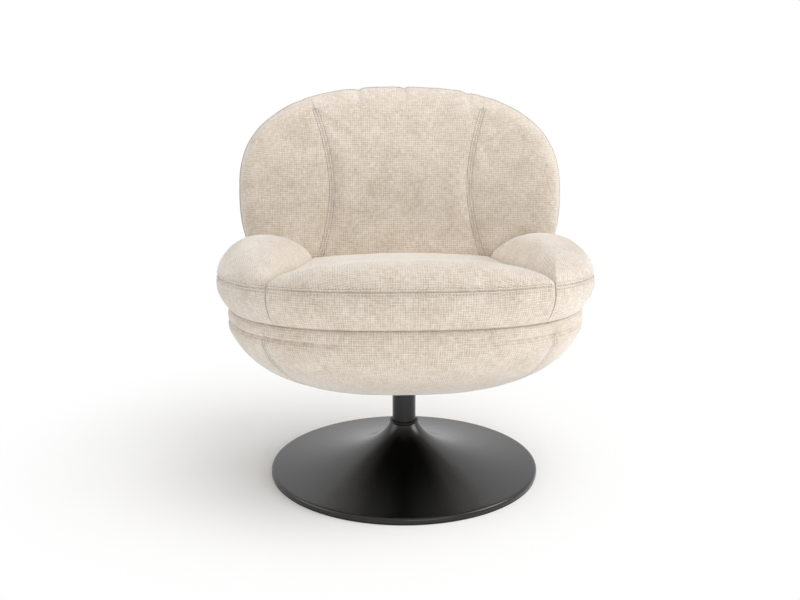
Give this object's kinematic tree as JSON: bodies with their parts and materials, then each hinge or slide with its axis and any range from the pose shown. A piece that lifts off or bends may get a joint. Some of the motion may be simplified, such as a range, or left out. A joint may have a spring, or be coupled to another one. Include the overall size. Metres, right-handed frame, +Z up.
{
  "type": "swivel armchair",
  "caption": "Upholstered swivel armchair with a rounded pod seat, plump arms and a wide curved back on a black trumpet base, turning freely on a hidden spindle.",
  "frame": {"origin": "on the floor, at the swivel axis under the middle of the base", "axes": "+Z up along the swivel axis, the chair faces -Y, +X to the right of someone who looks at its front"},
  "size_m": [0.692, 0.663, 0.753],
  "materials": {
    "upholstery": "cream woven cover",
    "dust_cover": "black non-woven",
    "powder_coat": "satin black",
    "bare_steel": "plain",
    "nylon": "black moulded",
    "rubber_ring": "matt black",
    "plywood": "bare birch plywood",
    "timber": "bare pine"
  },
  "bodies": {
    "base": {"floor_ring": "rubber_ring", "base_plate": "bare_steel", "base_cover": "powder_coat", "neck_collar": "nylon", "spindle": "bare_steel", "spindle_bolts": "bare_steel", "bearing_lower_race": "bare_steel", "retaining_washer": "bare_steel", "retaining_ring": "bare_steel"},
    "bearing": {"bearing_cage": "nylon", "bearing_balls": "bare_steel"},
    "seat": {"arm_core_left": "timber", "arm_core_right": "timber", "arm_pad_left": "upholstery", "arm_pad_right": "upholstery", "arm_screws": "bare_steel", "back_board": "plywood", "back_cleat": "timber", "back_front_pad": "upholstery", "back_rear_pad": "upholstery", "back_screws": "bare_steel", "base_board": "plywood", "bearing_upper_race": "bare_steel", "bottom_panel": "dust_cover", "cleat_screws": "bare_steel", "column_tube": "powder_coat", "deck_board": "plywood", "lower_bush": "nylon", "plate_bolts": "bare_steel", "plate_washers": "bare_steel", "pod_cover": "upholstery", "pod_rib_1": "plywood", "pod_rib_2": "plywood", "pod_rib_3": "plywood", "pod_rib_4": "plywood", "pod_rib_5": "plywood", "pod_rib_6": "plywood", "pod_rib_7": "plywood", "pod_rib_8": "plywood", "seat_cushion": "upholstery", "seat_plate": "powder_coat", "seat_spring_1": "bare_steel", "seat_spring_2": "bare_steel", "seat_spring_3": "bare_steel", "seat_spring_4": "bare_steel", "seat_spring_5": "bare_steel", "spring_clips": "bare_steel", "tee_nuts": "bare_steel", "upper_bush": "nylon"}
  },
  "joints": [
    {"name": "seat_swivel", "type": "hinge", "parent": "base", "child": "seat", "pos_m": [0, 0, 0.069], "axis": [0, 0, 1], "continuous": true},
    {"name": "bearing_turn", "type": "hinge", "parent": "base", "child": "bearing", "pos_m": [0, 0, 0.0635], "axis": [0, 0, 1], "continuous": true}
  ],
  "couplings": [
    {"joint": "bearing_turn", "follows": "seat_swivel", "ratio": 0.5}
  ]
}
